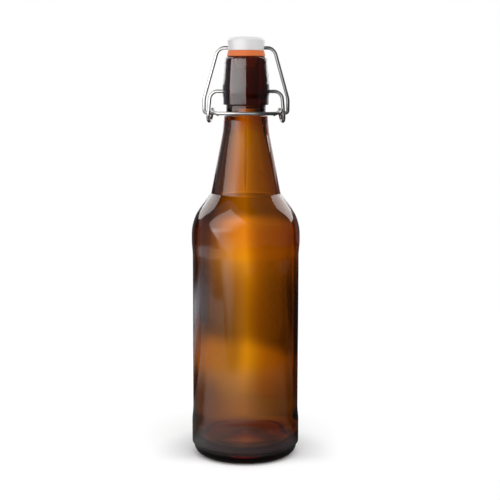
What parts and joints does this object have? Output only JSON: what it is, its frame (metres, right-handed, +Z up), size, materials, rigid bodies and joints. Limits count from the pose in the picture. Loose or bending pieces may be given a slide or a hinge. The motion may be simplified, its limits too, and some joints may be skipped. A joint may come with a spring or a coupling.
{
  "type": "swing top bottle",
  "caption": "Tall amber glass bottle with a long tapered neck and a wire bail swing top: a thumb lever lifts a plastic stopper with a rubber gasket off its lip.",
  "frame": {"origin": "on the ground, at the middle of the ring that the bottle stands on, on the bottle's axis", "axes": "+Z up along the bottle's axis, -Y to the front with the thumb bow, X along the axis of every pivot"},
  "size_m": [0.0688, 0.0688, 0.2658],
  "materials": {
    "amber_glass": "clear amber, gloss",
    "white_plastic": "moulded, soft gloss",
    "orange_rubber": "moulded, satin",
    "steel_wire": "drawn wire, bright"
  },
  "bodies": {
    "bottle": {"glass_bottle": "amber_glass"},
    "lever": {"lever_wire": "steel_wire"},
    "bail": {"bail_wire": "steel_wire"},
    "stopper": {"stopper_head": "white_plastic", "sealing_gasket": "orange_rubber"}
  },
  "joints": [
    {"name": "lever_pivot", "type": "hinge", "parent": "bottle", "child": "lever", "pos_m": [0, 0, 0.23209], "axis": [-1, 0, 0], "range_deg": [0, 80]},
    {"name": "bail_hook", "type": "hinge", "parent": "lever", "child": "bail", "pos_m": [0, 0.0013, 0.21859], "axis": [-1, 0, 0], "range_deg": [-57.6, 0]},
    {"name": "stopper_pivot", "type": "hinge", "parent": "bail", "child": "stopper", "pos_m": [0, 0, 0.25897], "axis": [-1, 0, 0], "range_deg": [-22.4, 0]}
  ],
  "couplings": [
    {"joint": "bail_hook", "follows": "lever_pivot", "ratio": -0.72},
    {"joint": "stopper_pivot", "follows": "lever_pivot", "ratio": -0.28}
  ]
}
